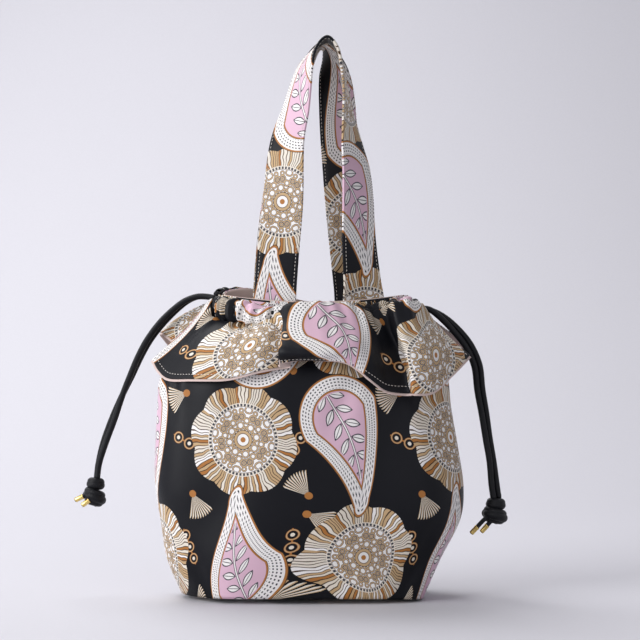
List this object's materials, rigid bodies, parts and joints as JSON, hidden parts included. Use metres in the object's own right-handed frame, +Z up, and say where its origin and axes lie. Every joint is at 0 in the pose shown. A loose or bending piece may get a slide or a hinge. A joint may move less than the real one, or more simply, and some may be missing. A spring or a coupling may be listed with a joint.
{
  "type": "drawstring tote bag",
  "caption": "Soft gathered drawstring tote of dark printed cloth with a flat base, a lined collar round the neck, cloth handles and knotted black drawcords with metal tips.",
  "frame": {"origin": "middle of the standing footprint's bounding box, on the floor plane, cords left out", "axes": "+Z up towards the handles, -Y out of the front face, +X to the viewer's right when facing the front"},
  "size_m": [0.389, 0.159, 0.4994],
  "materials": {
    "printed_cloth": "satin printed cotton on a near-black ground",
    "lining_cloth": "plain matt lining, dusty pink",
    "cord": "smooth round black cord",
    "tip_metal": "polished gold-coloured end caps"
  },
  "bodies": {
    "root": {"outer_front": "printed_cloth", "outer_back": "printed_cloth", "outer_base": "printed_cloth", "collar_front": "printed_cloth", "collar_back": "printed_cloth", "casing_front": "printed_cloth", "casing_back": "printed_cloth", "handle_front": "printed_cloth", "handle_back": "printed_cloth", "lining_bag": "lining_cloth", "collar_front_lining": "lining_cloth", "collar_back_lining": "lining_cloth", "drawcord_left": "cord", "drawcord_right": "cord", "knot_left": "cord", "knot_right": "cord", "cord_end_left_1": "cord", "cord_end_left_2": "cord", "cord_end_right_1": "cord", "cord_end_right_2": "cord", "cord_tip_left_1": "tip_metal", "cord_tip_left_2": "tip_metal", "cord_tip_right_1": "tip_metal", "cord_tip_right_2": "tip_metal"}
  },
  "joints": []
}
